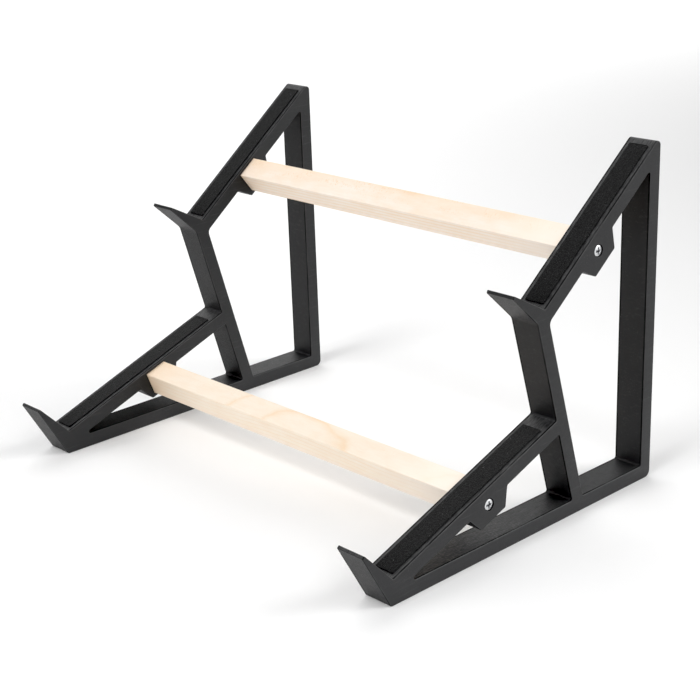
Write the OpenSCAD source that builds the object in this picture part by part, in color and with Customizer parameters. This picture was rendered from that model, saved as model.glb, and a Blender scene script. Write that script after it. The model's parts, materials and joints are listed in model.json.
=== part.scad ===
// Two-tier desktop stand: two flat side frames joined by two square wooden crossbars.
// X runs along the crossbars, Y from the lips back to the posts, and Z up.
// The origin lies on the resting plane, in the middle of the footprint.
// A side view is drawn with its x towards the back and its y up, from the toe of the frame.

/* [Overall] */
// Width over both side frames
stand_w = 300; // [250:5:400]
// Depth of the foot, from the toe to the back of the post
foot_depth = 211.5; // [200:0.5:250]
// Thickness of a side frame, across the stand
side_t = 18.5; // [16:0.5:26]
// Thickness of the foot, post, strut and arms in the side view
limb_t = 8.5; // [7:0.5:9.5]

/* [Tiers] */
// Slope of the lower arm, in degrees
lower_tilt = 20; // [17:1:24]
// Slope of the upper arm, in degrees
upper_tilt = 38; // [34:1:42]
// Height of the lower lip's root above the table
lower_root_h = 14.4; // [13.5:0.1:16]
// How far the upper lip's root stands behind the lower one
tier_step = 114.1; // [108:0.1:120]
// How far the upper lip's root stands above the lower one
tier_rise = 110.4; // [104:0.1:125]
// Forward lean of the strut, in degrees from upright
strut_lean = 15.5; // [12:0.5:18]
// How far the back of the upper lip runs on below the arm's top line, down to the strut
neck_drop = 1.8; // [1:0.1:2.5]

/* [Lips] */
// Length of a lip's inner face
lip_len = 27; // [22:0.5:32]
// Angle between an arm and its lip's inner face
lip_open = 113.5; // [108:0.5:118]
// Thickness of a lip at its root, along the arm
lip_root_t = 8.6; // [8:0.1:10]
// Thickness of a lip at its tip
lip_tip_t = 1.8; // [1.2:0.1:2.4]

/* [Crossbars] */
// Side of the square crossbars
bar_side = 15; // [12:0.5:16]
// Round of the crossbars' long edges
bar_edge_r = 0.5; // [0.2:0.1:1.5]
// Distance of the lower crossbar from the lower lip's root, along the arm
lower_bar_at = 71.7; // [62:0.1:82]
// Distance of the upper crossbar from the upper lip's root, along the arm
upper_bar_at = 47.7; // [42:0.1:60]

/* [Bosses] */
// Depth of the pocket that a crossbar's end stands in
pocket_depth = 8; // [5:0.5:9]
// Clearance round a crossbar in its pocket
bar_fit = 0.15; // [0.1:0.05:0.3]
// Skin between a pocket and the arm's top, and under the pocket
pocket_skin = 2; // [1.2:0.1:2.4]
// Cheek beside a pocket, at the foot of the boss
boss_cheek = 2.35; // [1.6:0.05:3.5]
// How much further each side of a boss reaches where it leaves the arm
boss_flare = 5.5; // [3:0.5:7]

/* [Screws] */
// Diameter of a wood screw
screw_d = 3; // [2.5:0.5:4]
// Length of a screw below its head
screw_len = 25; // [20:1:40]
// Length of a screw's tapered point
point_len = 3; // [2.5:0.5:6]
// Diameter of a screw's pan head
head_d = 6; // [5.5:0.5:8]
// Height of a screw's pan head
head_h = 2.2; // [2:0.1:3]
// Height of a head's straight rim, below its crown
head_rim = 1.7; // [0.8:0.1:1.8]
// How far a head's top lies below the frame's outer face
head_sink = 0.1; // [0.1:0.1:1]
// Clearance round a head in its counterbore
head_fit = 0.5; // [0.3:0.1:1]
// Clearance round a screw in the frame
shank_fit = 0.25; // [0.1:0.05:0.5]
// Clearance round a screw's thread in the crossbar
thread_fit = 0.05; // [0.02:0.01:0.1]
// Width over the cross recess
recess_w = 3.2; // [2.4:0.1:4]
// Width of a slot of the cross recess
slot_w = 0.8; // [0.6:0.1:1.2]
// Depth of the cross recess
slot_depth = 1.2; // [0.8:0.1:1.6]

/* [Pads] */
// Width of a pad
pad_w = 12.5; // [10:0.5:15]
// Thickness of a pad
pad_t = 0.9; // [0.6:0.1:2]
// Bare arm between a lip's root and its pad
pad_start = 2.6; // [1.5:0.1:5]
// Bare arm between the lower pad and the strut
lower_pad_end = 10; // [6:0.5:20]
// Bare arm between the upper pad and the sharp back corner
upper_pad_end = 8.4; // [6:0.1:20]
// Round of a pad's corners
pad_corner_r = 0.8; // [0.4:0.1:2]

/* [Rounds] */
// Fillet of the inner corners
crease_r = 1.2; // [0.6:0.1:2]
// Round of a boss's two lower corners
boss_r = 1.2; // [0.5:0.1:2]
// Round of the bend between the strut and the upper lip, in front
neck_r = 6; // [3:0.5:9]
// Round of the bend between the strut and the upper arm, behind
throat_r = 4; // [2:0.5:6]
// Round of the lower back corner
heel_r = 4; // [2:0.5:6]
// Round of the upper back corner
apex_r = 2.6; // [1:0.1:3.5]
// Round of the toe
toe_r = 1; // [0.5:0.1:2]
// Round of a lip's two edges
tip_r = 0.4; // [0.2:0.1:0.55]

/* [Hidden] */
$fn = 64;
// How far a cutting tool reaches past the face that it enters
cut = 1;
// How far a corner's scrap is drawn out from the centre of its round
overreach = 1.2;
// How far a round's circle passes over the two edges that it joins, so that it crosses them cleanly
crossing = 0.005;
LOWER = 0;
UPPER = 1;
plastic_colour = "#2e2e30";
wood_colour = "#f0e2cf";
felt_colour = "#18181a";
zinc_colour = "#c9ccd0";

// ---- Plane geometry of the side view ----
function dir(angle) = [cos(angle), sin(angle)];
function unit(v) = v / norm(v);
// Where the line through p at one angle meets the line through q at another
function meet(p, p_angle, q, q_angle) =
    p + cross(q - p, dir(q_angle)) / cross(dir(p_angle), dir(q_angle)) * dir(p_angle);
// Half the angle at corner p, between its neighbours a and b
function half_angle(a, p, b) = acos(unit(a - p) * unit(b - p)) / 2;
// Centre of the round of radius r that touches both edges of corner p
function round_centre(a, p, b, r) = p + r / sin(half_angle(a, p, b)) * unit(unit(a - p) + unit(b - p));

// Side view point at a distance along a tier's arm and a height over the arm's top line
function on_arm(tier, along, over) =
    root[tier] + along * dir(tilt[tier]) + over * dir(tilt[tier] + 90);

tilt = [lower_tilt, upper_tilt];
bar_at = [lower_bar_at, upper_bar_at];

// Lip: tip corners, and the line of its outer face, told from its root and its arm's slope
lip_tip_in = lip_len * dir(lip_open);
lip_tip_out = lip_tip_in + lip_tip_t * dir(lip_open + 90);
lip_out_angle = lip_open - atan((lip_root_t * sin(lip_open) - lip_tip_t)
    / (lip_len + lip_root_t * cos(lip_open)));

// The lower root stands where the lip's outer face runs down to the toe, at the origin
lower_root_y = lip_root_t * cos(lower_tilt)
    + (lower_root_h - lip_root_t * sin(lower_tilt)) / tan(lower_tilt + lip_out_angle);
lower_root = [lower_root_y, lower_root_h];
root = [lower_root, lower_root + [tier_step, tier_rise]];
toe = [0, 0];
heel = [foot_depth, 0];

// Crossbar axis below the arm's top, and the boss round it
bar_sink = pocket_skin + bar_fit + bar_side / 2;
pocket_w = bar_side + 2 * bar_fit;
boss_drop = bar_sink + pocket_w / 2 + pocket_skin;
boss_foot = pocket_w / 2 + boss_cheek;
boss_root = boss_foot + boss_flare;

// Strut: it leaves the upper lip's outer face at the neck and leans down to the foot
strut_angle = 90 + strut_lean;
upper_lip_angle = upper_tilt + lip_out_angle;
neck = on_arm(UPPER, -lip_root_t, 0) - neck_drop * dir(upper_lip_angle);
strut_back = neck + limb_t * dir(strut_angle - 90);

// Corners of the outline
armpit = meet(root[LOWER], lower_tilt, neck, strut_angle);
apex = meet(root[UPPER], upper_tilt, heel, 90);

// Corners of the windows: the inner faces of the limbs lie one limb inside the outline
foot_top = [0, limb_t];
post_front = [foot_depth - limb_t, 0];
lower_belly = on_arm(LOWER, 0, -limb_t);
upper_belly = on_arm(UPPER, 0, -limb_t);

// Extent of the outline from front to back
lip_front = round_centre(arm_point(LOWER, lip_tip_in), arm_point(LOWER, lip_tip_out), toe, tip_r).x - tip_r;
depth_mid = (lip_front + foot_depth) / 2;

// Side frame across the stand, seen for the right-hand one
outer_x = stand_w / 2;
inner_x = outer_x - side_t;
pocket_floor_x = inner_x + pocket_depth;
counterbore_depth = head_h + head_sink;
seat_x = outer_x - counterbore_depth;
bar_len = 2 * pocket_floor_x;

// Pad lengths: what the bare ends leave of each arm
pad_len = [
    norm(armpit - root[LOWER]) - pad_start - lower_pad_end,
    norm(apex - root[UPPER]) - pad_start - upper_pad_end
];

// Side view point from a pair of distances along and over a tier's arm
function arm_point(tier, p) = on_arm(tier, p.x, p.y);

// ---- Drawing helpers ----
// An outline is a list of [corner, radius] pairs, counter-clockwise. Its scrap at a corner is what
// rounding that corner takes away, or adds where the outline turns inwards: the kite from the round's
// centre to the corner, less the round itself. It reaches a little past both edges.
module corner_scrap(outline, i) {
    before = outline[(i + len(outline) - 1) % len(outline)][0];
    corner = outline[i][0];
    after = outline[(i + 1) % len(outline)][0];
    r = outline[i][1];
    centre = round_centre(before, corner, after, r);
    reach = r / tan(half_angle(before, corner, after));
    kite = [centre, corner + reach * unit(before - corner), corner, corner + reach * unit(after - corner)];
    difference() {
        polygon([for (k = kite) centre + overreach * (k - centre)]);
        translate(centre) circle(r = r + crossing);
    }
}

// Numbers of the corners where an outline turns inwards
function inward_corners(outline) = [
    for (i = [0 : len(outline) - 1])
        if (cross(outline[i][0] - outline[(i + len(outline) - 1) % len(outline)][0],
            outline[(i + 1) % len(outline)][0] - outline[i][0]) < 0) i
];

// Outline with its outward corners rounded
module trimmed_outline(outline) {
    inward = inward_corners(outline);
    difference() {
        polygon([for (c = outline) c[0]]);
        for (i = [0 : len(outline) - 1])
            if (len(search(i, inward)) == 0) corner_scrap(outline, i);
    }
}

// Outline with all its corners rounded
module rounded_outline(outline) {
    trimmed_outline(outline);
    for (i = inward_corners(outline)) corner_scrap(outline, i);
}

// Rectangle with rounded corners, from [x, y] to [x + w, y + h]
module rounded_box(x, y, w, h, r) {
    rounded_outline([[[x, y], r], [[x + w, y], r], [[x + w, y + h], r], [[x, y + h], r]]);
}

// Extrudes a side view along +X from x
module across(x, t) {
    translate([x, -depth_mid, 0]) rotate([90, 0, 90]) linear_extrude(t) children();
}

// Places children on a tier's crossbar axis: X along the bar, Y up the arm, Z out of the arm's top
module on_bar_axis(tier) {
    axis = on_arm(tier, bar_at[tier], -bar_sink);
    translate([0, axis.x - depth_mid, axis.y]) rotate([tilt[tier], 0, 0]) children();
}

// ---- Side frame ----
// Corners of a boss, from its back root round to its front root
function boss_corners(tier) = [
    [on_arm(tier, bar_at[tier] + boss_root, -limb_t), crease_r],
    [on_arm(tier, bar_at[tier] + boss_foot, -boss_drop), boss_r],
    [on_arm(tier, bar_at[tier] - boss_foot, -boss_drop), boss_r],
    [on_arm(tier, bar_at[tier] - boss_root, -limb_t), crease_r]
];

// Foot, post, arms and lips, without the windows
side_outline = [
    [toe, toe_r],
    [heel, heel_r],
    [apex, apex_r],
    [root[UPPER], crease_r],
    [arm_point(UPPER, lip_tip_in), tip_r],
    [arm_point(UPPER, lip_tip_out), tip_r],
    [neck, neck_r],
    [armpit, crease_r],
    [root[LOWER], crease_r],
    [arm_point(LOWER, lip_tip_in), tip_r],
    [arm_point(LOWER, lip_tip_out), tip_r]
];

// Window between the strut, the foot, the post and the upper arm with its boss
upper_window = concat(
    [
        [meet(foot_top, 0, strut_back, strut_angle), crease_r],
        [meet(foot_top, 0, post_front, 90), crease_r],
        [meet(upper_belly, upper_tilt, post_front, 90), crease_r]
    ],
    boss_corners(UPPER),
    [[meet(upper_belly, upper_tilt, strut_back, strut_angle), throat_r]]
);

// Window between the foot, the strut and the lower arm with its boss
lower_window = concat(
    [
        [meet(foot_top, 0, lower_belly, lower_tilt), crease_r],
        [meet(foot_top, 0, neck, strut_angle), crease_r],
        [meet(lower_belly, lower_tilt, neck, strut_angle), crease_r]
    ],
    boss_corners(LOWER)
);

// Pocket for a crossbar's end, and the screw's hole and counterbore behind it
module bar_seat() {
    translate([inner_x - cut, -pocket_w / 2, -pocket_w / 2])
        cube([pocket_depth + cut, pocket_w, pocket_w]);
    rotate([0, 90, 0]) {
        cylinder(d = screw_d + 2 * shank_fit, h = outer_x + cut);
        translate([0, 0, seat_x]) cylinder(d = head_d + 2 * head_fit, h = counterbore_depth + cut);
    }
}

// Right-hand side frame, printed in one piece
module side_frame() {
    difference() {
        union() {
            across(inner_x, side_t) trimmed_outline(side_outline);
            for (i = inward_corners(side_outline)) across(inner_x, side_t) corner_scrap(side_outline, i);
        }
        across(inner_x - cut, side_t + 2 * cut) rounded_outline(upper_window);
        across(inner_x - cut, side_t + 2 * cut) rounded_outline(lower_window);
        for (tier = [LOWER, UPPER]) on_bar_axis(tier) bar_seat();
    }
}

module right_side_frame() {
    color(plastic_colour) side_frame();
}

module left_side_frame() {
    color(plastic_colour) mirror([1, 0, 0]) side_frame();
}

// ---- Crossbars ----
// Square lath that stands in both pockets, with a screw hole in each end
module crossbar(tier) {
    grip = screw_len - (seat_x - pocket_floor_x) + cut;
    color(wood_colour) on_bar_axis(tier) difference() {
        translate([-bar_len / 2, 0, 0]) rotate([90, 0, 90]) linear_extrude(bar_len)
            rounded_box(-bar_side / 2, -bar_side / 2, bar_side, bar_side, bar_edge_r);
        for (side = [-1, 1]) rotate([0, side * 90, 0])
            translate([0, 0, bar_len / 2 - grip])
                cylinder(d = screw_d + 2 * thread_fit, h = grip + cut);
    }
}

module lower_crossbar() { crossbar(LOWER); }
module upper_crossbar() { crossbar(UPPER); }

// ---- Pads ----
// Strip laid on an arm's top face, from near the lip's root towards the back
module pad(tier) {
    start = on_arm(tier, pad_start, 0);
    margin = (side_t - pad_w) / 2;
    color(felt_colour) translate([inner_x + margin, start.x - depth_mid, start.y])
        rotate([tilt[tier], 0, 0]) linear_extrude(pad_t)
            rounded_box(0, 0, pad_w, pad_len[tier], pad_corner_r);
}

module lower_right_pad() { pad(LOWER); }
module upper_right_pad() { pad(UPPER); }
module lower_left_pad() { mirror([1, 0, 0]) pad(LOWER); }
module upper_left_pad() { mirror([1, 0, 0]) pad(UPPER); }

// ---- Screws ----
// Half section of a pan-head wood screw, head up, with its seat at height 0
module screw_section() {
    crown = head_h - head_rim;
    crown_r = (pow(head_d / 2, 2) + pow(crown, 2)) / (2 * crown);
    polygon([[0, -screw_len], [screw_d / 2, point_len - screw_len], [screw_d / 2, 0], [0, 0]]);
    intersection() {
        square([head_d / 2, head_h + cut]);
        translate([0, head_h - crown_r]) circle(r = crown_r);
    }
}

// Screw on a tier's bar axis, with its head in the right-hand frame's counterbore
module screw(tier) {
    color(zinc_colour) on_bar_axis(tier) translate([seat_x, 0, 0]) rotate([0, 90, 0]) difference() {
        rotate_extrude() screw_section();
        for (turn = [0, 90]) rotate([0, 0, turn])
            translate([-recess_w / 2, -slot_w / 2, head_h - slot_depth])
                cube([recess_w, slot_w, slot_depth + cut]);
    }
}

module lower_right_screw() { screw(LOWER); }
module upper_right_screw() { screw(UPPER); }
module lower_left_screw() { mirror([1, 0, 0]) screw(LOWER); }
module upper_left_screw() { mirror([1, 0, 0]) screw(UPPER); }

right_side_frame();
left_side_frame();
lower_crossbar();
upper_crossbar();
lower_right_pad();
lower_left_pad();
upper_right_pad();
upper_left_pad();
lower_right_screw();
lower_left_screw();
upper_right_screw();
upper_left_screw();
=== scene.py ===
"""Two-tier desktop stand: printed side frames, planed wooden crossbars, felt pads and pan-head screws."""
import json
import math

import bpy
import numpy as np
from mathutils import Matrix, Vector


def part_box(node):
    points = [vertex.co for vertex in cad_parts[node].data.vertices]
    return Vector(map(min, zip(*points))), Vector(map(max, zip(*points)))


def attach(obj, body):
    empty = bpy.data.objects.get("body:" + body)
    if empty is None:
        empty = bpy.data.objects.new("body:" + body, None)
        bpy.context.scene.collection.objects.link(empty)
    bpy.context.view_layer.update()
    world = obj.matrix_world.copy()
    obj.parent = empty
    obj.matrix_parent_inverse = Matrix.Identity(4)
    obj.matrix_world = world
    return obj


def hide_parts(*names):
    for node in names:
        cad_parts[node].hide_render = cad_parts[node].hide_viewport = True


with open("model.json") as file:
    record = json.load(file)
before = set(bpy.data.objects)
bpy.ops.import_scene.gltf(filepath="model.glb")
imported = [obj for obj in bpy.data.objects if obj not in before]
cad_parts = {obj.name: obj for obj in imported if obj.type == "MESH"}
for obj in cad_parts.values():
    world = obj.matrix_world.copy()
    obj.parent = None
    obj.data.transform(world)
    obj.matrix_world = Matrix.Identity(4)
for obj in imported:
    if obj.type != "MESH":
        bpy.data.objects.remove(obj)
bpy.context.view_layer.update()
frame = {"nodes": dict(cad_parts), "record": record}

bl_info = {
    "name": "Two-Tier Desktop Stand",
    "version": (1, 0, 0),
    "blender": (4, 5, 0),
    "location": "3D View > Sidebar > Stand",
    "description": "Dresses a two-tier desktop stand with printed plastic, wood, felt and zinc",
    "category": "Object",
}

MM = 0.001
BODY = "root"
TIERS = ("lower", "upper")
SIDES = {"left": -1, "right": 1}
# Corners at less than this angle are shaded smooth
SMOOTH_ANGLE = math.radians(35)
# CAD points closer than this are one point
MERGE = 0.001 * MM
# Points of one plane stray from it by less than this
FLAT = 0.01 * MM
# Points of the two side faces that fall in one cell of this size face each other
PLAN_CELL = 0.005 * MM
PLAN_KEYS = 10 ** 7
# Steps of a frame's round, and the number that its marks reach where it ends and the seam begins
ROLL_STEPS = 4
ROLL_END = 0.6
# A round takes at most these shares of the limb's width and of an outward corner's radius
LIMB_SHARE = 0.42
RADIUS_SHARE = 0.85
# From one point of a rim to another the round grows by at most this share of the way between them
GROWTH = 0.6
# Below this turn, in radians, a rim counts as straight
STRAIGHT = 0.02
# A limb is wider than this
LEAST_LIMB = 0.05 * MM
# What has no far side counts as this wide
FAR = 1.0
# A divisor is never closer to zero than this
TINY = 1e-12
# A stretch of a rim is still met this share of its length past its ends
SLACK = 1e-6
# Spacing of the felt's points, and steps of its corners and of its rolled edge
PAD_PITCH = 0.4 * MM
PAD_CORNER_STEPS = 5
PAD_ROLL_STEPS = 4
# Points round a screw, rows over its head's dome and rows down its shank
SCREW_AROUND = 72
DOME_ROWS = 30
SHANK_ROWS = 251


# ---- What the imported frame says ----
def mount(name):
    """Place and outward direction of one of the record's mounts."""
    found = next(m for m in frame["record"]["mounts"] if m["name"] == name)
    return np.array(found["pos_m"], float), np.array(found["axis"], float)


def tier_slope(tier):
    """Slope of a tier's arms, in radians: how far its pads' faces lean from straight up."""
    axis = mount("right_" + tier + "_pad_face")[1]
    return math.atan2(-axis[1], axis[2])


def merged_mesh(node):
    """Points and triangles of a CAD node, with the points that coincide made one."""
    mesh = frame["nodes"][node].data
    mesh.calc_loop_triangles()
    points = np.empty(len(mesh.vertices) * 3, np.float32)
    mesh.vertices.foreach_get("co", points)
    points = points.reshape(-1, 3).astype(float)
    corners = np.empty(len(mesh.loop_triangles) * 3, np.int32)
    mesh.loop_triangles.foreach_get("vertices", corners)
    _, first, merged = np.unique(
        np.round(points / MERGE).astype(np.int64), axis=0, return_index=True, return_inverse=True)
    triangles = merged.reshape(-1)[corners].reshape(-1, 3)
    solid = (triangles != np.roll(triangles, 1, axis=1)).all(1)
    return points[first], triangles[solid]


# ---- Meshes ----
def add_piece(name, points, faces, material, replaced, marks=None):
    """Makes a mesh object at the origin, lets it ride on the stand and take its CAD node's place.

    marks is one number for each point, which the piece's material reads as the attribute "marks".
    """
    mesh = bpy.data.meshes.new(name)
    mesh.from_pydata(points.tolist(), [], faces)
    if marks is not None:
        attribute = mesh.attributes.new("marks", "FLOAT", "POINT")
        attribute.data.foreach_set("value", np.asarray(marks, np.float32))
    mesh.validate()
    mesh.polygons.foreach_set("use_smooth", np.ones(len(mesh.polygons), bool))
    mesh.set_sharp_from_angle(angle=SMOOTH_ANGLE)
    mesh.materials.append(material)
    piece = bpy.data.objects.new(name, mesh)
    bpy.context.scene.collection.objects.link(piece)
    shading = piece.modifiers.new("face_weighted_shading", "WEIGHTED_NORMAL")
    shading.keep_sharp = True
    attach(piece, BODY)
    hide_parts(replaced)
    return piece


def grid_faces(rows, columns, around=False):
    """Quads of a grid of points that was stored row by row, closed round the columns if asked."""
    across = np.arange(columns if around else columns - 1)
    start = (np.arange(rows - 1)[:, None] * columns + across[None, :]).ravel()
    step = (np.tile((across + 1) % columns - across, rows - 1)).ravel()
    return np.stack([start, start + step, start + step + columns, start + columns], axis=1)


# ---- Side frames ----
def rim_edges(triangles, count):
    """Directed edges round a flat face and its holes: those that just one of the face's triangles has."""
    edges = np.concatenate([triangles[:, [0, 1]], triangles[:, [1, 2]], triangles[:, [2, 0]]])
    twins = np.isin(edges[:, 0] * count + edges[:, 1], edges[:, 1] * count + edges[:, 0])
    return edges[~twins]


def cross(a, b):
    """The cross product of directions in the frame's plane."""
    return a[..., 0] * b[..., 1] - a[..., 1] * b[..., 0]


def rim_reach(spot, to_next, miter, radius, wanted):
    """How far the round reaches at each point of a rim.

    It is the wanted round, but no more than a share of the limb's width there or of an outward
    corner's radius, and it changes gently along the rim. The width is the way from the point, straight
    into the plastic, to the nearest stretch of a rim.
    """
    into = -miter / np.linalg.norm(miter, axis=1)[:, None]
    gap = spot[None, :, :] - spot[:, None, :]
    turned = cross(into[:, None], to_next[None])
    turned = np.where(np.abs(turned) < TINY, TINY, turned)
    along = cross(gap, to_next[None]) / turned
    share = cross(gap, into[:, None]) / turned
    hit = (share >= -SLACK) & (share <= 1 + SLACK) & (along > LEAST_LIMB)
    width = np.where(hit, along, FAR).min(1)
    reach = np.minimum(np.minimum(wanted, LIMB_SHARE * width), RADIUS_SHARE * radius)
    return (reach[None, :] + GROWTH * np.linalg.norm(gap, axis=2)).min(1)


def rounded_frame(node, edge_round, mouth_round, seam):
    """The side frame with its edges rounded over, and a number for each point that says where it is.

    The number climbs from 0 on the side faces to ROLL_END over the round, and to 1 on the walls, a seam's
    width further in, so a material can draw along the edges.

    Each rim of a side face moves in from the wall by e, and the wall's rim moves in from the face by e.
    Between them a quarter circle is carried round the rim: at angle a it lies e (1 - sin a) inside
    the wall and e (1 - cos a) below the face. Rims that go through to the other side face take the
    edge round for e, and the mouths of blind holes take the mouth round.
    """
    points, triangles = merged_mesh(node)
    rounded = points.copy()
    marks = np.ones(len(points))
    faces = triangles.copy()
    strips = []
    plan = np.round(points[:, 1:] / PLAN_CELL).astype(np.int64)
    keys = plan[:, 0] * PLAN_KEYS + plan[:, 1]
    low, high = points[:, 0].min(), points[:, 0].max()
    for level, other, outward in ((low, high, -1), (high, low, 1)):
        flat = (np.abs(points[triangles][:, :, 0] - level) < FLAT).all(1)
        rim = rim_edges(triangles[flat], len(points))
        rim = rim[np.argsort(rim[:, 0])]
        corner, after = rim[:, 0], rim[:, 1]
        place = np.full(len(points), -1)
        place[corner] = np.arange(len(corner))
        before = np.empty(len(points), int)
        before[after] = corner
        before = place[before[corner]]
        # The wall's direction along each stretch of the rim, and the corner's radius and miter at its start
        spot = points[corner][:, 1:]
        to_next = points[after][:, 1:] - spot
        length = np.linalg.norm(to_next, axis=1)
        wall = outward * np.stack([to_next[:, 1], -to_next[:, 0]], axis=1) / length[:, None]
        agree = (wall * wall[before]).sum(1)
        miter = (wall + wall[before]) / (1 + agree)[:, None]
        turn = np.arccos(np.clip(agree, -1, 1))
        bulges = ((to_next * wall[before]).sum(1) < 0) & (turn > STRAIGHT)
        radius = np.where(bulges, np.minimum(length, length[before]) / np.maximum(turn, STRAIGHT), FAR)
        through = np.isin(keys[corner], keys[np.abs(points[:, 0] - other) < FLAT])
        reach = rim_reach(spot, to_next, miter, radius, np.where(through, edge_round, mouth_round))
        # Rings of the quarter circle, from the face to the wall, and the wall's rim a seam's width further in
        roll = np.linspace(0, math.pi / 2, ROLL_STEPS + 1)
        rings = np.empty((len(roll), len(corner), 3))
        rings[:, :, 0] = level - outward * reach * (1 - np.cos(roll))[:, None]
        rings[:, :, 1:] = spot - miter * (reach * (1 - np.sin(roll))[:, None])[:, :, None]
        loops = np.arange(len(roll) * len(corner)).reshape(len(roll), -1) + len(rounded)
        loops = np.concatenate([loops, corner[None, :]])
        rounded[corner] = rings[-1] - [outward * seam, 0, 0]
        rounded = np.concatenate([rounded, rings.reshape(-1, 3)])
        marks = np.concatenate([marks, np.repeat(np.linspace(0, ROLL_END, len(roll)), len(corner))])
        moved = np.arange(len(points))
        moved[corner] = loops[0]
        faces[flat] = moved[triangles[flat]]
        ahead = loops[:, place[after]]
        strips.append(np.stack([ahead[:-1], loops[:-1], loops[1:], ahead[1:]], axis=2).reshape(-1, 4))
    return rounded, faces.tolist() + np.concatenate(strips).tolist(), marks


# ---- Pads ----
def pad_strip(node, slope, corner_round, edge_round, nap, seed):
    """A felt strip laid on an arm.

    Its top is a grid whose rows reach as far out as a rectangle with round corners does. Round the
    grid's rim each ring of points moves out by e sin(a) and down by e (1 - cos(a)) for angles a from
    0 to a right angle, then straight down to the arm. The nap lowers the top's points at random.
    """
    low, high = (np.array(corner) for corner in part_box(node))
    rise, run = math.sin(slope), math.cos(slope)
    deep, tall = high[1] - low[1], high[2] - low[2]
    length = (deep * run - tall * rise) / (run ** 2 - rise ** 2)
    thick = (tall * run - deep * rise) / (run ** 2 - rise ** 2)
    half = np.array([high[0] - low[0], length]) / 2 - edge_round
    bend = corner_round - edge_round
    core = half - bend
    # Rows: over one round corner, along the straight, over the other corner
    turn = np.linspace(0, math.pi / 2, PAD_CORNER_STEPS + 1)
    straight = np.linspace(-core[1], core[1], int(2 * core[1] / PAD_PITCH))
    rows = np.concatenate([
        -core[1] - bend * np.sin(turn[:0:-1]),
        straight,
        core[1] + bend * np.sin(turn[1:]),
    ])
    reach = core[0] + np.sqrt(np.maximum(bend ** 2 - np.maximum(np.abs(rows) - core[1], 0) ** 2, 0))
    across = np.linspace(-1, 1, int(2 * half[0] / PAD_PITCH))
    grid = (len(rows), len(across))
    level = thick - nap * np.random.default_rng(seed).uniform(0, 1, grid)
    top = np.dstack([reach[:, None] * across, np.broadcast_to(rows[:, None], grid), level]).reshape(-1, 3)
    # Rings round the rim: over the rolled edge, halfway down, and at the arm
    place = np.arange(len(top)).reshape(grid)
    rim = np.concatenate([place[:, -1], place[-1, -2:0:-1], place[::-1, 0], place[0, 1:-1]])
    spot = top[rim][:, :2]
    out = spot - np.clip(spot, -core, core)
    out /= np.linalg.norm(out, axis=1)[:, None]
    roll = np.linspace(0, math.pi / 2, PAD_ROLL_STEPS + 1)[1:]
    moves = np.concatenate([edge_round * np.sin(roll), [edge_round, edge_round]])
    levels = np.concatenate([thick - edge_round * (1 - np.cos(roll)), [(thick - edge_round) / 2, 0]])
    rings = np.empty((len(moves), len(rim), 3))
    rings[:, :, :2] = spot + moves[:, None, None] * out
    rings[:, :, 2] = levels[:, None]
    local = np.concatenate([top, rings.reshape(-1, 3)])
    along = local[:, 1] + length / 2
    points = np.column_stack([
        (low[0] + high[0]) / 2 + local[:, 0],
        low[1] + thick * rise + along * run - local[:, 2] * rise,
        low[2] + along * rise + local[:, 2] * run,
    ])
    loops = np.arange(len(moves) * len(rim)).reshape(len(moves), -1) + len(top)
    loops = np.concatenate([rim[None, :], loops])
    ahead = np.roll(loops, -1, axis=1)
    skirt = np.stack([loops[:-1], loops[1:], ahead[1:], ahead[:-1]], axis=2).reshape(-1, 4)
    faces = grid_faces(*grid).tolist() + skirt.tolist()
    faces.append(loops[-1][::-1].tolist())
    return points, faces


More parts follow.
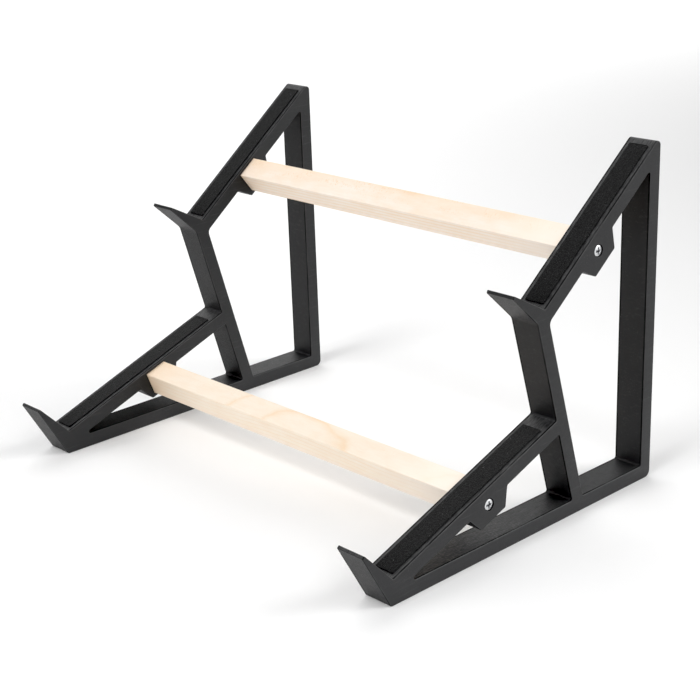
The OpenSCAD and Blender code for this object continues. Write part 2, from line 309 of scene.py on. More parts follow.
# ---- Screws ----
def screw_surface(node, sign, head, shank, recess):
    """A pan-head wood screw as one surface of two parameters: the angle round it, and the way along it.

    The head is a low dome with a straight rim; its cross recess is sunk by a smooth cross-shaped
    share of the recess's depth. The thread is a ridge that climbs one pitch in each turn.
    """
    low, high = (np.array(corner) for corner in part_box(node))
    axis_y, axis_z = (low[1] + high[1]) / 2, (low[2] + high[2]) / 2
    head_radius = (high[1] - low[1]) / 2
    tip = min(abs(low[0]), abs(high[0]))
    turn = np.linspace(0, 2 * math.pi, SCREW_AROUND, endpoint=False)
    # Dome, from just beside its middle to the rim
    first_row = 0.02
    crown = head["height"] - head["rim"]
    dome = (head_radius ** 2 + crown ** 2) / (2 * crown)
    dome_radius = (np.linspace(first_row, 1, DOME_ROWS) * head_radius)[:, None]
    dome_level = head["rim"] + np.sqrt(dome ** 2 - dome_radius ** 2) - (dome - crown)
    # Recess: two crossed slots that rise towards their ends, and a round heart, with sloping walls
    end_slope = 0.35 * recess["reach"]
    slot_slope = 0.2 * MM
    heart_slope = 0.3 * MM
    heart_radius = 0.95 * recess["width"]
    u, v = np.abs(dome_radius * np.cos(turn)), np.abs(dome_radius * np.sin(turn))
    ends = np.clip((recess["reach"] - np.maximum(u, v)) / end_slope, 0, 1)
    slots = np.clip((recess["width"] / 2 - np.minimum(u, v)) / slot_slope + 0.5, 0, 1)
    heart = np.clip((heart_radius - np.hypot(u, v)) / heart_slope + 0.5, 0, 1)
    sunk = np.maximum(slots * np.sqrt(ends), heart)
    # Rim, which narrows a little at the seat
    narrow = 0.12 * MM
    rim_radius = np.array([[head_radius], [head_radius - narrow]])
    rim_level = np.array([[narrow], [0]])
    # Shank: a plain neck that narrows to the thread's root, then the thread, then a bluntly curved point
    neck_slope = 0.6 * MM
    thread_start = 1 * MM
    ridge_half = 0.24
    ridge_end = 1 / 3
    bluntness = 0.8
    tip_radius = 0.02 * MM
    crest = shank["radius"]
    root = crest - shank["thread_depth"]
    down = np.linspace(0, shank["length"], SHANK_ROWS)[:, None]
    body = root + (crest - root) * np.clip((shank["neck"] - down) / neck_slope, 0, 1)
    taper = np.clip((shank["length"] - down) / shank["point"], 0, 1)
    phase = (down / shank["pitch"] - sign * turn / (2 * math.pi)) % 1
    ridge = shank["thread_depth"] * np.clip(1 - np.abs(phase - 0.5) / ridge_half, 0, 1)
    ridge = ridge * np.clip((down - shank["neck"]) / thread_start, 0, 1) * np.clip(taper / ridge_end, 0, 1)
    shank_radius = np.minimum(np.maximum(body * taper ** bluntness + ridge, tip_radius), crest)
    # All rows, from the middle of the head to the tip
    dome_level = dome_level - recess["depth"] * sunk
    parts = ((dome_radius, dome_level), (rim_radius, rim_level), (shank_radius, -down))
    wide = [np.broadcast_arrays(radius, height, turn)[:2] for radius, height in parts]
    radius, height = (np.concatenate(rows) for rows in zip(*wide))
    marks = np.zeros(radius.shape)
    marks[:DOME_ROWS] = sunk
    points = np.stack([
        sign * (tip + shank["length"] + height),
        axis_y + radius * np.cos(turn)[None, :],
        axis_z + sign * radius * np.sin(turn)[None, :],
    ], axis=2).reshape(-1, 3)
    faces = grid_faces(len(radius), SCREW_AROUND, around=True)[:, ::-1].tolist()
    faces.append(list(range(SCREW_AROUND)))
    faces.append(list(range(len(points) - 1, len(points) - 1 - SCREW_AROUND, -1)))
    return points, faces, marks.ravel()


# ---- Materials ----
class Recipe:
    """A material's node tree, with one short call for each kind of node."""

    # Where a Mix node has its two colours and its mixed colour
    mix_inputs = (6, 7)
    mix_output = 2

    def __init__(self, name):
        self.material = bpy.data.materials.new(name)
        self.material.use_nodes = True
        self.tree = self.material.node_tree
        self.tree.nodes.clear()
        self.shader = self.tree.nodes.new("ShaderNodeBsdfPrincipled")
        output = self.tree.nodes.new("ShaderNodeOutputMaterial")
        self.tree.links.new(self.shader.outputs["BSDF"], output.inputs["Surface"])
        self.place = self.tree.nodes.new("ShaderNodeTexCoord").outputs["Object"]

    def put(self, node, name, value):
        """Sets one input of a node, or links a socket to it."""
        if isinstance(value, bpy.types.NodeSocket):
            self.tree.links.new(value, node.inputs[name])
        else:
            node.inputs[name].default_value = value

    def set(self, **values):
        """Sets the shader's inputs: a name's underscores stand for its spaces."""
        for name, value in values.items():
            self.put(self.shader, name.replace("_", " "), value)

    def turned(self, place=(0, 0, 0), turn=(0, 0, 0), stretch=(1, 1, 1), source=None):
        """Coordinates moved so that a point becomes the origin, then turned and stretched."""
        moved = self.tree.nodes.new("ShaderNodeVectorMath")
        moved.operation = "SUBTRACT"
        self.put(moved, 0, source or self.place)
        moved.inputs[1].default_value = place
        mapping = self.tree.nodes.new("ShaderNodeMapping")
        self.put(mapping, "Vector", moved.outputs[0])
        mapping.inputs["Rotation"].default_value = turn
        mapping.inputs["Scale"].default_value = stretch
        return mapping.outputs["Vector"]

    def noise(self, scale, detail, roughness=0.5, source=None):
        """Cloudy noise, from 0 to 1. The scale counts features in a metre."""
        node = self.tree.nodes.new("ShaderNodeTexNoise")
        self.put(node, "Vector", source or self.place)
        node.inputs["Scale"].default_value = scale
        node.inputs["Detail"].default_value = detail
        node.inputs["Roughness"].default_value = roughness
        return node.outputs["Fac"]

    def streaks(self, stretch, detail, roughness=0.5, **turned):
        """Noise drawn out along the axes: stretch counts the features in a metre of each."""
        return self.noise(1.0, detail, roughness, self.turned(stretch=stretch, **turned))

    def marks(self):
        """The piece's own attribute of one number for each point."""
        node = self.tree.nodes.new("ShaderNodeAttribute")
        node.attribute_name = "marks"
        return node.outputs["Fac"]

    def far_from(self, point):
        """Distance from a point."""
        node = self.tree.nodes.new("ShaderNodeVectorMath")
        node.operation = "DISTANCE"
        self.put(node, 0, self.place)
        node.inputs[1].default_value = point
        return node.outputs["Value"]

    def facing(self):
        """The way the surface faces, by axis."""
        node = self.tree.nodes.new("ShaderNodeSeparateXYZ")
        self.put(node, 0, self.tree.nodes.new("ShaderNodeNewGeometry").outputs["Normal"])
        return node.outputs

    def spread(self, source, old, new):
        """Moves a number from one range to another, and keeps it inside."""
        node = self.tree.nodes.new("ShaderNodeMapRange")
        self.put(node, "Value", source)
        node.inputs["From Min"].default_value, node.inputs["From Max"].default_value = old
        node.inputs["To Min"].default_value, node.inputs["To Max"].default_value = new
        return node.outputs[0]

    def cells(self, scale, randomness, source=None):
        """Distance to the nearest of a scatter of points. The scale counts points in a metre."""
        node = self.tree.nodes.new("ShaderNodeTexVoronoi")
        self.put(node, "Vector", source or self.place)
        node.inputs["Scale"].default_value = scale
        node.inputs["Randomness"].default_value = randomness
        return node.outputs["Distance"]

    def ramp(self, source, *stops):
        """A value carried over straight lines between stops of (place, height), both from 0 to 1."""
        node = self.tree.nodes.new("ShaderNodeValToRGB")
        self.put(node, "Fac", source)
        entries = node.color_ramp.elements
        while len(entries) < len(stops):
            entries.new(0.5)
        for entry, (place, height) in zip(entries, stops):
            entry.position = place
            entry.color = (height, height, height, 1)
        return node.outputs["Color"]

    def curve(self, source, *points):
        """A value carried through a smooth curve over points of (place, height), both from 0 to 1."""
        node = self.tree.nodes.new("ShaderNodeFloatCurve")
        self.put(node, "Value", source)
        line = node.mapping.curves[0]
        while len(line.points) < len(points):
            line.points.new(0.5, 0.5)
        for point, place in zip(line.points, points):
            point.location = place
        node.mapping.update()
        return node.outputs["Value"]

    def math(self, operation, a, b=0.0, c=0.0):
        """One step of arithmetic on up to three values."""
        node = self.tree.nodes.new("ShaderNodeMath")
        node.operation = operation
        for k, value in enumerate((a, b, c)):
            self.put(node, k, value)
        return node.outputs[0]

    def times(self, first, *others):
        """The product of two or more values."""
        for other in others:
            first = self.math("MULTIPLY", first, other)
        return first

    def waves(self, along, pitch):
        """A sine wave along a length, from 0 to 1."""
        wave = self.math("SINE", self.times(along, 2 * math.pi / pitch))
        return self.math("MULTIPLY_ADD", wave, 0.5, 0.5)

    def split(self, source=None):
        """Coordinates, by axis."""
        node = self.tree.nodes.new("ShaderNodeSeparateXYZ")
        self.put(node, 0, source or self.place)
        return node.outputs

    def blend(self, share, a, b):
        """Colour a mixed with colour b."""
        node = self.tree.nodes.new("ShaderNodeMix")
        node.data_type = "RGBA"
        self.put(node, "Factor", share)
        for place, value in zip(self.mix_inputs, (a, b)):
            self.put(node, place, value if isinstance(value, bpy.types.NodeSocket) else (*value, 1))
        return node.outputs[self.mix_output]

    def bump(self, height, distance, under=None):
        """Relief of a height from 0 to 1, distance metres deep, laid over another relief."""
        node = self.tree.nodes.new("ShaderNodeBump")
        self.put(node, "Height", height)
        node.inputs["Distance"].default_value = distance
        node.inputs["Strength"].default_value = 1.0
        if under is not None:
            self.put(node, "Normal", under)
        return node.outputs["Normal"]


def printed_plastic(colours, layer, foot_top):
    """Black printed plastic: layer lines across the limbs, a matt grain, faint scuffs and specks.

    A dark seam and a painted highlight on the round run along the edges, the walls that face up are a little
    paler with painted sheen on their strokes, painted light makes the plastic paler near the floor, and the
    feet's tops have a lattice of pale dots.
    """
    # Stretches of X, Y and Z over which a look changes
    left_to_right = (-60 * MM, 60 * MM)
    front_to_rear = (-40 * MM, 60 * MM)
    front_to_middle = (-30 * MM, 15 * MM)
    floor_to_post = (0, 60 * MM)
    foot_to_arms = (foot_top, foot_top + MM)
    recipe = Recipe("printed_plastic")
    axes = recipe.split()
    edge = recipe.marks()
    facing_up = recipe.ramp(recipe.facing()["Z"], (0.55, 0.0), (0.75, 1.0))
    # Ground: cloudy, and painted light that makes it paler near the floor
    low_painted_light = recipe.spread(axes["Z"], floor_to_post, (0.5, 0.0))
    cloud = recipe.math("MULTIPLY_ADD", recipe.noise(55, 4), 0.45, low_painted_light)
    tone = recipe.blend(cloud, colours.plastic, colours.plastic_worn_and_lit)
    # Tops: short strokes in the direction of the layers, fading out on the feet towards the rear and the left
    stroke = recipe.ramp(recipe.streaks((1600, 260, 260), 2), (0.35, 0.0), (0.75, 1.0))
    forward = recipe.spread(axes["Y"], front_to_rear, (1.0, 0.1))
    forward = recipe.times(forward, recipe.spread(axes["X"], left_to_right, (0.2, 1.0)))
    on_arms = recipe.spread(axes["Z"], foot_to_arms, (0.0, 1.0))
    stroke = recipe.times(stroke, recipe.math("MAXIMUM", forward, on_arms))
    # Painted sheen: the strokes on walls that face up are painted paler
    tone = recipe.blend(recipe.times(stroke, facing_up), tone, colours.plastic_stroke_sheen)
    # Wear and painted highlight: scuffs, and a painted highlight over the round that lies beside a dark seam
    scuff = recipe.ramp(recipe.streaks((260, 40, 700), 4, 0.65, turn=(0.5, 0, 0)), (0.56, 0.0), (0.80, 0.4))
    tone = recipe.blend(scuff, tone, colours.plastic_scuff_and_highlight)
    # Painted highlight: the round beside the side face is painted paler
    edge_highlight = recipe.ramp(edge, (0.02, 0.0), (0.16, 1.0), (0.30, 0.6), (0.42, 0.0))
    edge_highlight = recipe.times(edge_highlight, recipe.ramp(recipe.noise(130, 4), (0.35, 0.35), (0.65, 1.0)))
    tone = recipe.blend(edge_highlight, tone, colours.plastic_scuff_and_highlight)
    seam = recipe.ramp(edge, (0.38, 0.0), (0.50, 1.0), (0.90, 1.0), (1.0, 0.0))
    seam = recipe.times(seam, recipe.ramp(recipe.noise(45, 3), (0.35, 0.4), (0.55, 1.0)))
    tone = recipe.blend(seam, tone, colours.plastic_seam)
    # Lattice: dots on the feet's tops, strongest at the front of the right one
    on_top = 0.3 * MM
    above = recipe.times(recipe.math("COMPARE", axes["Z"], foot_top, on_top), facing_up)
    lattice = recipe.ramp(recipe.cells(520, 0.5, recipe.turned(turn=(0, 0, 0.3))), (0.16, 1.0), (0.42, 0.0))
    worn = recipe.ramp(recipe.noise(90, 3, 0.6), (0.36, 0.1), (0.60, 1.0))
    lattice = recipe.times(lattice, above, worn, forward)
    # Dust: the lattice's dots, and specks in patches
    speck = recipe.ramp(recipe.noise(1400, 2, 0.6), (0.62, 0.0), (0.74, 1.0))
    patch = recipe.ramp(recipe.noise(70, 3), (0.48, 0.0), (0.66, 1.0))
    dust = recipe.math("MULTIPLY_ADD", lattice, 0.40, recipe.times(speck, patch, 0.35))
    tone = recipe.blend(dust, tone, colours.plastic_dust)
    # The left foot's top is duller in front
    dull = recipe.times(above, recipe.spread(axes["X"], left_to_right, (1.0, 0.0)))
    dull = recipe.times(dull, recipe.spread(axes["Y"], front_to_middle, (1.0, 0.0)))
    recipe.set(Base_Color=recipe.blend(recipe.times(dull, 0.7), tone, colours.plastic_seam))
    gloss = recipe.math("MULTIPLY_ADD", recipe.noise(420, 4, 0.65), 0.22, 0.36)
    gloss = recipe.math("MULTIPLY_ADD", seam, 0.4, gloss)
    recipe.set(Roughness=recipe.math("MULTIPLY_ADD", dull, 0.4, gloss))
    recipe.shader.inputs["Specular IOR Level"].default_value = 0.31
    # Relief: uneven layers, a slanting raster in each, the lattice's dots and a fine grain
    wander = 0.6 * layer
    strand = 1.6 * layer
    layers = recipe.math("ADD", axes["X"], recipe.times(recipe.noise(30, 2), wander))
    layers = recipe.waves(layers, layer)
    raster = recipe.waves(recipe.math("ADD", axes["Y"], axes["Z"]), strand)
    relief = recipe.bump(layers, 0.012 * MM)
    relief = recipe.bump(raster, 0.004 * MM, under=relief)
    relief = recipe.bump(lattice, 0.04 * MM, under=relief)
    relief = recipe.bump(recipe.noise(2600, 3, 0.6), 0.03 * MM, under=relief)
    recipe.set(Normal=relief)
    return recipe.material


def planed_wood(name, tier, colours, early, look):
    """Pale planed wood, cut from near the outside of a trunk.

    The growth rings are cylinders round a pith that runs far below the bar, level with its front face.
    The pith's height follows a curve along the bar, so the rings meet the top in arches and the front
    in long lines. Each ring darkens slowly outwards and ends at once. Fibres, a soft mottle and small
    flecks lie over them. Near its left end the wood has painted shade, warmer and darker beside the frame,
    and near its right end painted light makes it paler.
    """
    low, high = (np.array(corner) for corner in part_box(tier + "_crossbar"))
    reach = high[0] - low[0]
    half = look["side"] / 2
    recipe = Recipe(name)
    # Coordinates along and across the bar, and the share of its length from the left end
    bar = recipe.turned(place=tuple((low + high) / 2))
    bar = recipe.turned(turn=(-tier_slope(tier), 0, 0), source=bar)
    axes = recipe.split(bar)
    share = recipe.math("MULTIPLY_ADD", axes["X"], 1 / reach, 0.5)
    # Rings: the distance from the pith, pushed about a little, says how far through its year each place is
    drift = recipe.streaks((60, 170, 170), 3, 0.55, source=bar)
    climb = recipe.times(recipe.curve(share, *look["pith"]), look["climb"] * look["ring"])
    down = recipe.math("SUBTRACT", recipe.math("ADD", axes["Z"], look["pith_down"] - half), climb)
    across = recipe.math("ADD", axes["Y"], half)
    ring = recipe.math("SQRT", recipe.math("ADD", recipe.times(down, down), recipe.times(across, across)))
    ring = recipe.math("ADD", ring, recipe.times(recipe.math("SUBTRACT", drift, 0.5), look["drift"]))
    ring = recipe.math("SUBTRACT", ring, look["pith_down"])
    year = recipe.math("FRACT", recipe.math("DIVIDE", ring, look["ring"]))
    darkening = ((look["late"], 0.0), ((1 + look["late"]) / 2, 0.5), (0.965, 1.0))
    line = recipe.ramp(year, (0.0, 0.4), (0.06, 0.0), *darkening, (1.0, 0.4))
    fade = recipe.ramp(recipe.streaks((22, 90, 90), 2, source=bar), (0.3, 0.45), (0.65, 1.0))
    tone = recipe.blend(recipe.times(line, fade), early, colours.wood_late)
    # Mottle and fibres
    mottle = recipe.streaks((75, 230, 230), 4, 0.6, source=bar)
    tone = recipe.blend(recipe.ramp(mottle, (0.40, 0.0), (0.75, look["mottle"])), tone, colours.wood_fleck_and_end_shade)
    fibre = recipe.streaks((60, 1600, 1600), 4, 0.6, source=bar)
    tone = recipe.blend(recipe.ramp(fibre, (0.35, 0.0), (0.75, look["fibre"])), tone, colours.wood_fibre)
    # Flecks: slanting, in flocks, and mostly on the rear half of the top
    fleck = recipe.streaks((1500, 620, 620), 2, turn=(0, 0, 0.35), source=bar)
    fleck = recipe.ramp(fleck, (0.57, 0.0), (0.66, 1.0))
    flock = recipe.streaks((45, 160, 160), 2, place=(31 * MM, 0, 0), source=bar)
    flock = recipe.ramp(flock, (0.44, 0.0), (0.58, 1.0))
    rear = recipe.ramp(recipe.math("MULTIPLY_ADD", axes["Y"], 0.5 / half, 0.5), (0.3, 0.15), (0.65, 1.0))
    flecks = recipe.times(fleck, flock, rear, look["flecks"])
    tone = recipe.blend(flecks, tone, colours.wood_fleck_and_end_shade)
    # Ends: painted shade, warm and dark, at the left one beside the frame; painted light at the right one
    ends = recipe.curve(share, (0.0, 0.9), (0.05, 0.6), (0.12, 0.18), (0.22, 0.0), (0.95, 0.0), (1.0, 0.1))
    tone = recipe.blend(recipe.times(ends, look["warm_end_shade"]), tone, colours.wood_fleck_and_end_shade)
    end_painted_light = recipe.curve(share, (0.0, 0.0), (0.68, 0.0), (0.86, 0.4), (0.95, 0.8), (1.0, 0.8))
    recipe.set(Base_Color=recipe.blend(end_painted_light, tone, colours.wood_painted_light))
    recipe.set(Roughness=recipe.math("MULTIPLY_ADD", fibre, 0.25, 0.5))
    relief = recipe.bump(fibre, 0.04 * MM)
    recipe.set(Normal=recipe.bump(line, 0.03 * MM, under=relief))
    return recipe.material


def black_felt(colours):
    """Black felt with a short nap: dark pits between tufts, and a few pale specks of lint."""
    recipe = Recipe("black_felt")
    tuft = recipe.noise(1150, 5, 0.75)
    tone = recipe.blend(recipe.ramp(tuft, (0.42, 0.0), (0.62, 1.0)), colours.felt, colours.felt_tuft)
    fluff = recipe.streaks((2600, 1500, 1500), 2, turn=(0.3, 0.2, 0.4))
    fluff = recipe.ramp(fluff, (0.58, 0.0), (0.72, 1.0))
    tone = recipe.blend(recipe.times(fluff, 0.5), tone, colours.felt_fluff)
    lint = recipe.ramp(recipe.noise(820, 2, 0.55), (0.73, 0.0), (0.78, 1.0))
    recipe.set(Base_Color=recipe.blend(recipe.times(lint, 0.7), tone, colours.felt_lint))
    recipe.set(Roughness=0.95)
    recipe.shader.inputs["Sheen Weight"].default_value = 0.1
    recipe.shader.inputs["Sheen Roughness"].default_value = 0.6
    recipe.shader.inputs["Specular IOR Level"].default_value = 0.15
    relief = recipe.bump(tuft, 0.35 * MM)
    recipe.set(Normal=recipe.bump(recipe.noise(4200, 3, 0.7), 0.08 * MM, under=relief))
    return recipe.material


def zinc_plate(colours):
    """Bright zinc plate over drawn steel, a little cloudy, with painted shade darkening the cross recess."""
    recipe = Recipe("zinc_plate")
    recipe.set(Metallic=1.0)
    plate = recipe.blend(recipe.noise(700, 3), colours.zinc, colours.zinc_dull)
    # Painted shade: the cross recess is painted dark
    recess = recipe.ramp(recipe.marks(), (0.12, 0.0), (0.5, 1.0))
    recipe.set(Base_Color=recipe.blend(recess, plate, colours.zinc_recess_shade))
    recipe.set(Roughness=recipe.math("MULTIPLY_ADD", recipe.noise(1500, 3), 0.2, 0.24))
    recipe.set(Normal=recipe.bump(recipe.noise(2500, 3), 0.02 * MM))
    return recipe.material


def studio_paper(colours):
    """White paper sweep with a hardly visible tooth, and painted shade: a soft grey patch behind the stand to
    the right.
    """
    # Painted shade: the floor greys towards this point, behind the stand at the right
    painted_shade_middle = (250 * MM, 1250 * MM, 0)
    painted_shade_fade = (620 * MM, 1180 * MM)
    recipe = Recipe("studio_paper")
    tone = recipe.blend(recipe.noise(3, 2), colours.paper, colours.paper_shade)
    patch = recipe.spread(recipe.far_from(painted_shade_middle), painted_shade_fade, (1.0, 0.0))
    recipe.set(Base_Color=recipe.blend(patch, tone, colours.paper_painted_shade))
    recipe.set(Roughness=0.9)
    recipe.set(Normal=recipe.bump(recipe.noise(900, 3), 0.05 * MM))
    return recipe.material


# ---- Sizes and colours that a user would change ----
def colour(name, description, default):
    """A colour, as linear red, green and blue."""
    return bpy.props.FloatVectorProperty(
        name=name, description=description, default=default, subtype="COLOR", size=3, min=0, max=1)


def length(name, description, default_mm):
    """A length, given in millimetres and kept in metres."""
    return bpy.props.FloatProperty(
        name=name, description=description, default=default_mm * MM, min=0, unit="LENGTH",
        subtype="DISTANCE", precision=5)


def angle(name, description, default_degrees):
    """An angle, given in degrees and kept in radians."""
    return bpy.props.FloatProperty(
        name=name, description=description, default=math.radians(default_degrees), unit="ROTATION",
        subtype="ANGLE")


def light(name, description, default):
    """How much light a lamp or a part of the sky gives."""
    return bpy.props.FloatProperty(name=name, description=description, default=default, min=0)


class StandColours(bpy.types.PropertyGroup):
    """Colours of the stand's materials"""

    plastic: colour("Plastic", "Printed black plastic", (0.0120, 0.0121, 0.0127))
    # Duller print in clouds, and painted light near the floor
    plastic_worn_and_lit: colour("Worn plastic", "Where the print's surface is duller", (0.0290, 0.0292, 0.0305))
    # Strokes on the tops, painted paler as painted sheen
    plastic_stroke_sheen: colour("Plastic tops", "Strokes on the walls that face up", (0.075, 0.075, 0.076))
    # Scuffs, and the painted highlight along the rounded edges
    plastic_scuff_and_highlight: colour("Rubbed plastic", "Along the rounded edges and scuffs", (0.070, 0.070, 0.071))
    plastic_seam: colour("Plastic seam", "The seam beside the rounded edges", (0.004, 0.004, 0.004))
    plastic_dust: colour("Plastic dust", "Specks on the print", (0.16, 0.16, 0.16))
    lower_early: colour("Lower early wood", "Pale wood of the lower bar", (0.92, 0.815, 0.69))
    upper_early: colour("Upper early wood", "Pale wood of the upper bar", (0.92, 0.825, 0.735))
    wood_late: colour("Late wood", "Growth lines", (0.87, 0.65, 0.43))
    wood_fibre: colour("Wood fibre", "Fine fibres", (0.84, 0.70, 0.55))
    # Flecks and mottle, and the warm painted shade at the bars' left ends
    wood_fleck_and_end_shade: colour("Wood fleck", "Short flecks", (0.84, 0.59, 0.37))
    # Painted light on the crossbars' right ends
    wood_painted_light: colour("Painted light on wood", "Right ends of the crossbars", (0.99, 0.885, 0.785))
    felt: colour("Felt", "Ground of the felt", (0.002, 0.002, 0.0022))
    felt_tuft: colour("Felt tufts", "Tops of the nap", (0.0135, 0.0135, 0.0139))
    felt_fluff: colour("Felt fluff", "Loose fibres that catch the light", (0.055, 0.055, 0.056))
    felt_lint: colour("Lint", "Pale specks in the felt", (0.22, 0.22, 0.22))
    zinc: colour("Zinc", "Bright zinc plate", (0.74, 0.75, 0.76))
    zinc_dull: colour("Dull zinc", "Cloudy zinc plate", (0.56, 0.57, 0.58))
    # Painted shade inside the cross recess
    zinc_recess_shade: colour("Zinc recess", "Inside the cross recess", (0.22, 0.22, 0.23))
    paper: colour("Paper", "Studio floor", (0.93, 0.93, 0.93))
    # Painted shade on the floor behind the stand
    paper_painted_shade: colour("Paper grey", "A grey patch of the floor, behind the stand", (0.64, 0.64, 0.64))
    paper_shade: colour("Paper shade", "Slow change of tone on the floor", (0.915, 0.915, 0.915))


class StandSizes(bpy.types.PropertyGroup):
    """Sizes of the stand's finish"""

    edge_round: length("Edge round", "Round of the side frames' edges", 0.45)
    mouth_round: length("Mouth round", "Round of the pockets' and counterbores' rims", 0.25)
    seam: length("Seam", "Width of the seam along the side frames' edges", 0.8)
    foot_top: length("Foot top", "Height of the feet's tops above the floor", 8.5)
    layer: length("Layer", "Height of a printed layer", 0.25)
    bar_side: length("Bar side", "Side of a crossbar's square section", 15)
    pith_down: length("Pith depth", "How far below a bar's top the middle of its growth rings is", 170)
    pad_corner: length("Pad corner", "Round of a pad's corners", 0.8)
    pad_edge: length("Pad edge", "Roll of a pad's upper edge", 0.5)
    nap: length("Nap", "How uneven the felt's nap is", 0.12)
    head_height: length("Head height", "Height of a screw's head", 2.2)
    head_rim: length("Head rim", "Height of the head's straight rim", 1.7)
    screw_length: length("Screw length", "Length of a screw below its head", 25)
    screw_neck: length("Screw neck", "Plain stretch below the head", 7)
    screw_point: length("Screw point", "Tapered tip", 3)
    screw_radius: length("Screw radius", "Radius over the thread", 1.5)
    thread_pitch: length("Thread pitch", "Climb of the thread in a turn", 1.35)
    thread_depth: length("Thread depth", "Depth of the thread", 0.45)
    recess_reach: length("Recess reach", "From the middle of the cross recess to its ends", 2.0)
    recess_width: length("Recess width", "Width of the cross recess's slots", 1.0)
    recess_depth: length("Recess depth", "Depth of the cross recess", 1.2)


class StandStage(bpy.types.PropertyGroup):
    """Camera, floor and lamps"""

    camera_place: bpy.props.FloatVectorProperty(
        name="Camera place", description="Where the camera stands", default=(0.6297, -0.5648, 0.3741),
        subtype="TRANSLATION", unit="LENGTH")
    camera_turn: angle("Camera turn", "Turn of the view to the left of +Y", 47.075)
    camera_tilt: angle("Camera tilt", "How far the view looks down", 19.643)
    camera_roll: angle("Camera roll", "Roll of the camera, counter-clockwise", -2.028)
    camera_lens: bpy.props.FloatProperty(
        name="Lens", description="Focal length in millimetres", default=79.15, min=10,
        subtype="DISTANCE_CAMERA")
    black_level: bpy.props.FloatProperty(
        name="Black level", description="Light that shows as black", default=0.012, min=0, max=0.2)
    white_level: bpy.props.FloatProperty(
        name="White level", description="Light that shows as white", default=0.965, min=0.5, max=2)
    floor_reach: length("Floor reach", "Half the floor's width", 4000)
    sky: light("Sky", "Light from all round", 0.15)
    horizon: light("Horizon", "Light from just above the floor's edge", 1.0)
    right_lamp: light("Right lamp", "Light of the lamp at the right", 0.22)
    right_back_lamp: light("Right back lamp", "Light of the lamp at the back right", 0.60)
    left_top_lamp: light("Left top lamp", "Light of the lamp high at the left", 0.42)
    front_lamp: light("Front lamp", "Light of the low lamp in front", 0.26)
    front_top_lamp: light("Front top lamp", "Light of the small lamp high in front", 0.33)


# ---- Operators ----
class STAND_OT_side_frames(bpy.types.Operator):
    """Add both side frames, with rounded edges and printed plastic"""

    bl_idname = "stand.side_frames"
    bl_label = "Side Frames"

    def execute(self, context):
        sizes = context.scene.stand_sizes
        material = printed_plastic(context.scene.stand_colours, sizes.layer, sizes.foot_top)
        for side in SIDES:
            node = side + "_side_frame"
            points, faces, marks = rounded_frame(node, sizes.edge_round, sizes.mouth_round, sizes.seam)
            add_piece(side + "_printed_frame", points, faces, material, node, marks=marks)
        return {"FINISHED"}


class STAND_OT_crossbars(bpy.types.Operator):
    """Give both crossbars their wood"""

    bl_idname = "stand.crossbars"
    bl_label = "Crossbars"

    # pith is a curve along the bar, and climb is how many rings its height of 1 stands for.
    # ring is a ring's width, late is the share of it where the dark part begins, and drift is how far the
    # rings wander. The rest is how strongly the fibres, the mottle, the flecks and the warm painted shade of
    # the left ends show.
    looks = {
        "lower": {
            "pith": (
                (0.0, 0.14), (0.14, 0.17), (0.27, 0.25), (0.31, 0.33), (0.42, 0.64), (0.45, 0.71),
                (0.52, 0.76), (0.62, 0.71), (0.68, 0.67), (0.70, 0.63), (0.80, 0.54), (0.88, 0.65),
                (1.0, 0.78)),
            "climb": 3.0, "ring": 3.0 * MM, "late": 0.86, "drift": 0.4 * MM,
            "fibre": 0.25, "mottle": 0.25, "flecks": 0.25, "warm_end_shade": 0.7,
        },
        "upper": {
            "pith": (
                (0.0, 0.42), (0.15, 0.36), (0.30, 0.34), (0.36, 0.45), (0.50, 0.34), (0.62, 0.30),
                (0.78, 0.36), (0.90, 0.28), (1.0, 0.20)),
            "climb": 1.0, "ring": 3.0 * MM, "late": 0.60, "drift": 0.8 * MM,
            "fibre": 0.3, "mottle": 0.30, "flecks": 0.9, "warm_end_shade": 0.35,
        },
    }

    def execute(self, context):
        colours = context.scene.stand_colours
        sizes = context.scene.stand_sizes
        for tier in TIERS:
            look = {**self.looks[tier], "side": sizes.bar_side, "pith_down": sizes.pith_down}
            wood = planed_wood(tier + "_wood", tier, colours, getattr(colours, tier + "_early"), look)
            for slot in frame["nodes"][tier + "_crossbar"].material_slots:
                slot.material = wood
        return {"FINISHED"}


class STAND_OT_pads(bpy.types.Operator):
    """Add the four felt pads on the arms"""

    bl_idname = "stand.pads"
    bl_label = "Pads"

    def execute(self, context):
        sizes = context.scene.stand_sizes
        material = black_felt(context.scene.stand_colours)
        for tier_number, tier in enumerate(TIERS):
            for side in SIDES:
                node = tier + "_" + side + "_pad"
                seed = 10 * tier_number + (side == "right")
                points, faces = pad_strip(
                    node, tier_slope(tier), sizes.pad_corner, sizes.pad_edge, sizes.nap, seed)
                pad = add_piece(tier + "_" + side + "_felt", points, faces, material, node)
        return {"FINISHED"}


class STAND_OT_screws(bpy.types.Operator):
    """Add the four screws, with cross recess and thread"""

    bl_idname = "stand.screws"
    bl_label = "Screws"

    def execute(self, context):
        sizes = context.scene.stand_sizes
        material = zinc_plate(context.scene.stand_colours)
        head = {"height": sizes.head_height, "rim": sizes.head_rim}
        shank = {
            "length": sizes.screw_length, "neck": sizes.screw_neck, "point": sizes.screw_point,
            "radius": sizes.screw_radius, "pitch": sizes.thread_pitch, "thread_depth": sizes.thread_depth}
        recess = {"reach": sizes.recess_reach, "width": sizes.recess_width, "depth": sizes.recess_depth}
        for tier in TIERS:
            for side, sign in SIDES.items():
                node = tier + "_" + side + "_screw"
                name = tier + "_" + side + "_wood_screw"
                points, faces, marks = screw_surface(node, sign, head, shank, recess)
                add_piece(name, points, faces, material, node, marks=marks)
        return {"FINISHED"}


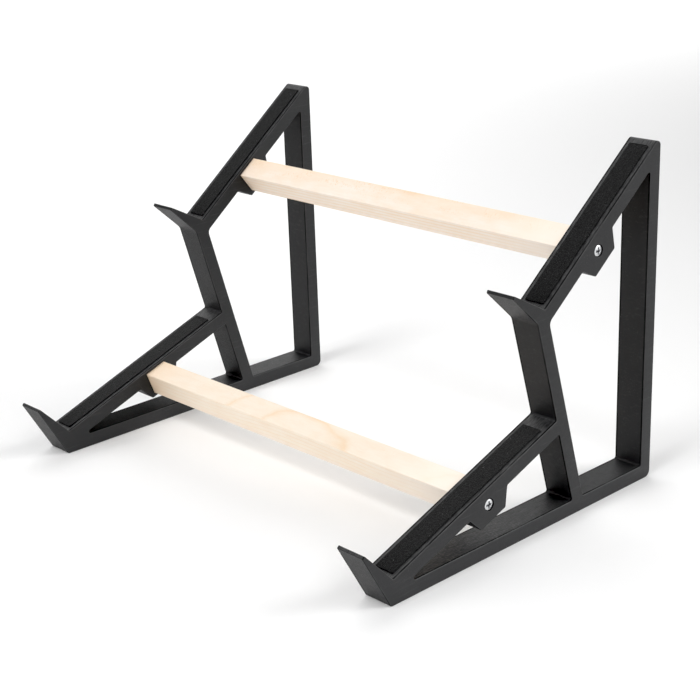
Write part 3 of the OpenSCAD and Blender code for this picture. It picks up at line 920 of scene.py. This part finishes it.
class STAND_OT_stage(bpy.types.Operator):
    """Add the camera, the paper floor and the lamps"""

    bl_idname = "stand.stage"
    bl_label = "Stage"

    # The bright band fades out as a view rises from the first to the second share of straight up
    band = (0.05, 0.15)
    # Each lamp's place, as seen from the stand, and how many degrees it spreads over
    lamps = {
        "right_lamp": ((1.5, 0.0, 1.0), 60),
        "right_back_lamp": ((1.2, 1.2, 0.7), 36),
        "left_top_lamp": ((-1.1, 0.5, 1.1), 60),
        "front_lamp": ((0.0, -1.5, 0.6), 60),
        "front_top_lamp": ((0.0, -0.8, 1.25), 18),
    }

    def execute(self, context):
        scene = context.scene
        stage = scene.stand_stage
        scene.view_settings.view_transform = "Standard"
        scene.view_settings.use_curve_mapping = True
        scene.view_settings.curve_mapping.black_level = (stage.black_level,) * 3
        scene.view_settings.curve_mapping.white_level = (stage.white_level,) * 3
        scene.view_settings.curve_mapping.update()
        camera = bpy.data.objects.new("camera", bpy.data.cameras.new("camera"))
        scene.collection.objects.link(camera)
        camera.data.lens = stage.camera_lens
        camera.data.clip_start = 10 * MM
        camera.matrix_world = (
            Matrix.Translation(stage.camera_place)
            @ Matrix.Rotation(stage.camera_turn, 4, "Z")
            @ Matrix.Rotation(math.pi / 2 - stage.camera_tilt, 4, "X")
            @ Matrix.Rotation(stage.camera_roll, 4, "Z")
        )
        scene.camera = camera
        reach = stage.floor_reach
        floor_mesh = bpy.data.meshes.new("floor")
        corners = ((-reach, -reach, 0), (reach, -reach, 0), (reach, reach, 0), (-reach, reach, 0))
        floor_mesh.from_pydata(corners, [], [(0, 1, 2, 3)])
        floor_mesh.materials.append(studio_paper(scene.stand_colours))
        floor = bpy.data.objects.new("floor", floor_mesh)
        scene.collection.objects.link(floor)
        scene.world = self.studio_sky(stage.sky, stage.horizon)
        for name, (place, spread) in self.lamps.items():
            self.lamp(scene, name, place, spread, getattr(stage, name))
        return {"FINISHED"}

    def studio_sky(self, sky, horizon):
        """An even, dim sky with a bright band just above the floor's edge."""
        world = bpy.data.worlds.new("studio")
        world.use_nodes = True
        tree = world.node_tree
        direction = tree.nodes.new("ShaderNodeTexCoord").outputs["Generated"]
        split = tree.nodes.new("ShaderNodeSeparateXYZ")
        fade = tree.nodes.new("ShaderNodeMapRange")
        fade.inputs["From Min"].default_value, fade.inputs["From Max"].default_value = self.band
        fade.inputs["To Min"].default_value = horizon
        fade.inputs["To Max"].default_value = sky
        tree.links.new(direction, split.inputs[0])
        tree.links.new(split.outputs["Z"], fade.inputs["Value"])
        tree.links.new(fade.outputs[0], tree.nodes["Background"].inputs["Strength"])
        tree.nodes["Background"].inputs["Color"].default_value = (1, 1, 1, 1)
        return world

    @staticmethod
    def lamp(scene, name, place, spread, strength):
        """A broad soft lamp, far off in the direction of its place.

        A white face that is turned to it takes a brightness equal to its strength.
        """
        data = bpy.data.lights.new(name, "SUN")
        data.angle = math.radians(spread)
        data.energy = strength * math.pi
        lamp = bpy.data.objects.new(name, data)
        scene.collection.objects.link(lamp)
        lamp.location = place
        lamp.rotation_euler = Vector(place).to_track_quat("Z", "Y").to_euler()


class STAND_PT_panel(bpy.types.Panel):
    """Lists the stand's pieces, sizes and colours"""

    bl_idname = "STAND_PT_panel"
    bl_label = "Two-Tier Stand"
    bl_space_type = "VIEW_3D"
    bl_region_type = "UI"
    bl_category = "Stand"

    def draw(self, context):
        for operator in OPERATORS:
            self.layout.operator(operator.bl_idname)
        for group in (context.scene.stand_sizes, context.scene.stand_colours, context.scene.stand_stage):
            box = self.layout.box()
            for name in group.__annotations__:
                box.prop(group, name)


OPERATORS = (STAND_OT_side_frames, STAND_OT_crossbars, STAND_OT_pads, STAND_OT_screws, STAND_OT_stage)
GROUPS = (StandColours, StandSizes, StandStage)


def register():
    for item in GROUPS + OPERATORS + (STAND_PT_panel,):
        bpy.utils.register_class(item)
    bpy.types.Scene.stand_colours = bpy.props.PointerProperty(type=StandColours)
    bpy.types.Scene.stand_sizes = bpy.props.PointerProperty(type=StandSizes)
    bpy.types.Scene.stand_stage = bpy.props.PointerProperty(type=StandStage)


def unregister():
    del bpy.types.Scene.stand_stage
    del bpy.types.Scene.stand_sizes
    del bpy.types.Scene.stand_colours
    for item in reversed(GROUPS + OPERATORS + (STAND_PT_panel,)):
        bpy.utils.unregister_class(item)


def main():
    register()
    bpy.ops.stand.stage()
    bpy.ops.stand.side_frames()
    bpy.ops.stand.crossbars()
    bpy.ops.stand.pads()
    bpy.ops.stand.screws()


if __name__ == "__main__":
    main()
